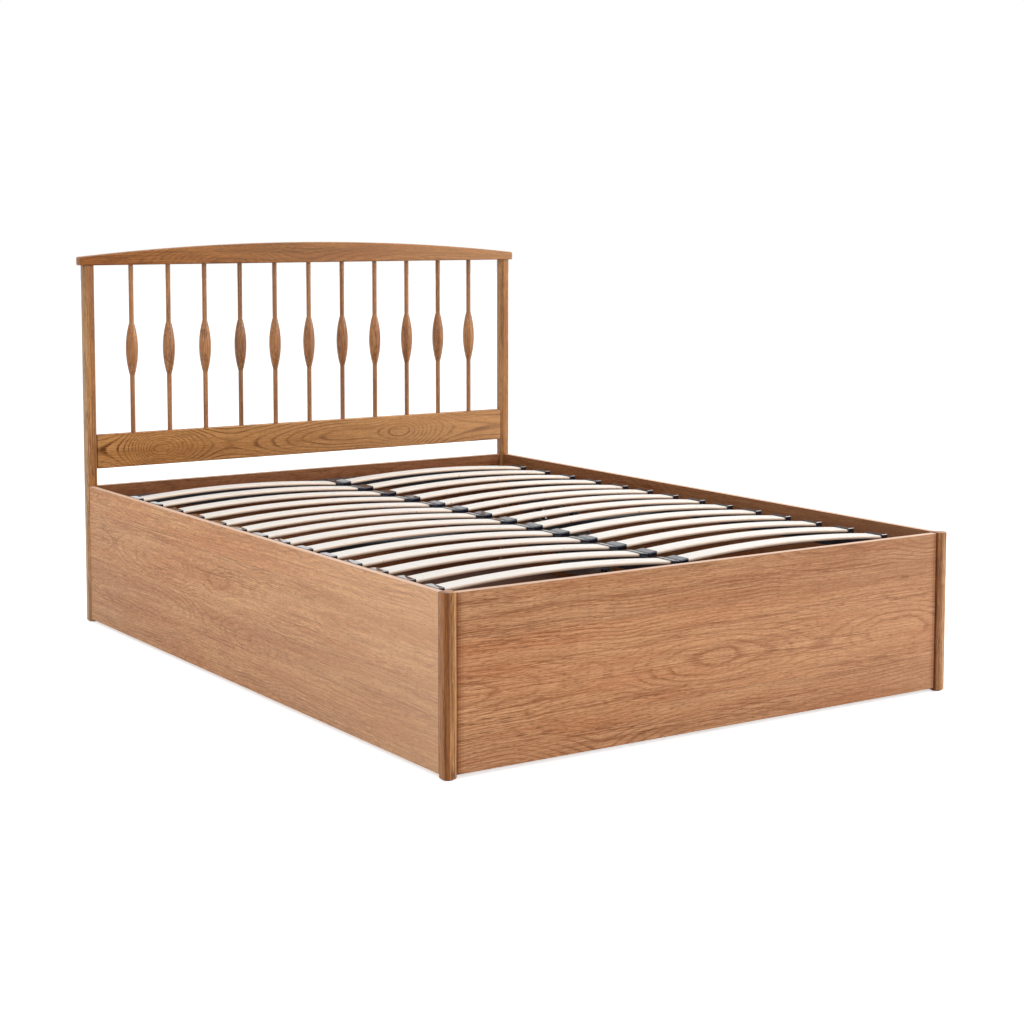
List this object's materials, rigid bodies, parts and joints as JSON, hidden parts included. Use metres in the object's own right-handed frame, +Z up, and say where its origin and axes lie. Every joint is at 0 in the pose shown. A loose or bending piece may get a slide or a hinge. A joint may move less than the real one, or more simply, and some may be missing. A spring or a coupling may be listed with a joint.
{
  "type": "ottoman bed",
  "caption": "Wooden ottoman bed with a spindle headboard, a panelled storage box and a sprung-slat steel platform that lifts on gas struts.",
  "frame": {"origin": "centre of the footprint's box at floor level", "axes": "+Z up, +X to the right seen from the foot end, +Y from the foot end to the headboard"},
  "size_m": [1.49, 2, 1.1],
  "materials": {
    "oak": "clear satin lacquer on warm oak",
    "pale_oak": "clear satin lacquer on oak veneer",
    "birch": "cream foil on bent birch plywood",
    "hardboard": "smooth brown hardboard",
    "softwood": "planed, unfinished",
    "black_steel": "black powder coat",
    "zinc_steel": "bright zinc plate",
    "rod_chrome": "polished"
  },
  "bodies": {
    "base": {"headboard_post_left": "oak", "headboard_post_right": "oak", "foot_post_left": "oak", "foot_post_right": "oak", "headboard_top_rail": "oak", "headboard_lower_rail": "oak", "spindle_1": "oak", "spindle_2": "oak", "spindle_3": "oak", "spindle_4": "oak", "spindle_5": "oak", "spindle_6": "oak", "spindle_7": "oak", "spindle_8": "oak", "spindle_9": "oak", "spindle_10": "oak", "spindle_11": "oak", "side_panel_left": "pale_oak", "side_panel_right": "pale_oak", "foot_panel": "oak", "head_panel": "oak", "floor_cleat_left": "softwood", "floor_cleat_right": "softwood", "floor_bearer": "softwood", "floor_board_head": "hardboard", "floor_board_foot": "hardboard", "foot_rest_batten": "softwood", "lift_base_plate_left": "zinc_steel", "lift_base_plate_right": "zinc_steel"},
    "long_arms": {"lift_long_arm_left": "zinc_steel", "lift_long_arm_right": "zinc_steel"},
    "platform": {"platform_side_tube_left": "black_steel", "platform_side_tube_right": "black_steel", "platform_head_tube": "black_steel", "platform_foot_tube": "black_steel", "platform_centre_tube": "black_steel", "platform_cross_tube": "black_steel", "slat_row_1": "birch", "slat_row_2": "birch", "slat_row_3": "birch", "slat_row_4": "birch", "slat_row_5": "birch", "slat_row_6": "birch", "slat_row_7": "birch", "slat_row_8": "birch", "slat_row_9": "birch", "slat_row_10": "birch", "slat_row_11": "birch", "slat_row_12": "birch", "slat_row_13": "birch", "slat_row_14": "birch", "platform_bracket_left": "zinc_steel", "platform_bracket_right": "zinc_steel"},
    "short_arms": {"lift_short_arm_left": "zinc_steel", "lift_short_arm_right": "zinc_steel"},
    "strut_cylinders": {"strut_cylinder_left": "black_steel", "strut_cylinder_right": "black_steel"},
    "strut_rods": {"strut_rod_left": "rod_chrome", "strut_rod_right": "rod_chrome"}
  },
  "joints": [
    {"name": "platform_lift", "type": "hinge", "parent": "long_arms", "child": "platform", "pos_m": [0, 0.752, 0.22], "axis": [-1, 0, 0], "range_deg": [0, 80.19]},
    {"name": "long_arm_pivot", "type": "hinge", "parent": "base", "child": "long_arms", "pos_m": [0, 0.394, 0.095], "axis": [1, 0, 0], "range_deg": [0, 44.19]},
    {"name": "short_arm_pivot", "type": "hinge", "parent": "base", "child": "short_arms", "pos_m": [0, 0.572, 0.248], "axis": [1, 0, 0], "range_deg": [0, 61.7]},
    {"name": "strut_base_pivot", "type": "hinge", "parent": "base", "child": "strut_cylinders", "pos_m": [0, 0.60333, 0.08091], "axis": [1, 0, 0], "range_deg": [0, 30.85]},
    {"name": "strut_top_pivot", "type": "hinge", "parent": "short_arms", "child": "strut_rods", "pos_m": [0, 0.73909, 0.27933], "axis": [-1, 0, 0], "range_deg": [0, 30.85]}
  ],
  "couplings": [
    {"joint": "long_arm_pivot", "follows": "platform_lift", "ratio": 0.55108},
    {"joint": "short_arm_pivot", "follows": "platform_lift", "ratio": 0.76938},
    {"joint": "strut_base_pivot", "follows": "platform_lift", "ratio": 0.38469},
    {"joint": "strut_top_pivot", "follows": "platform_lift", "ratio": 0.38469}
  ]
}
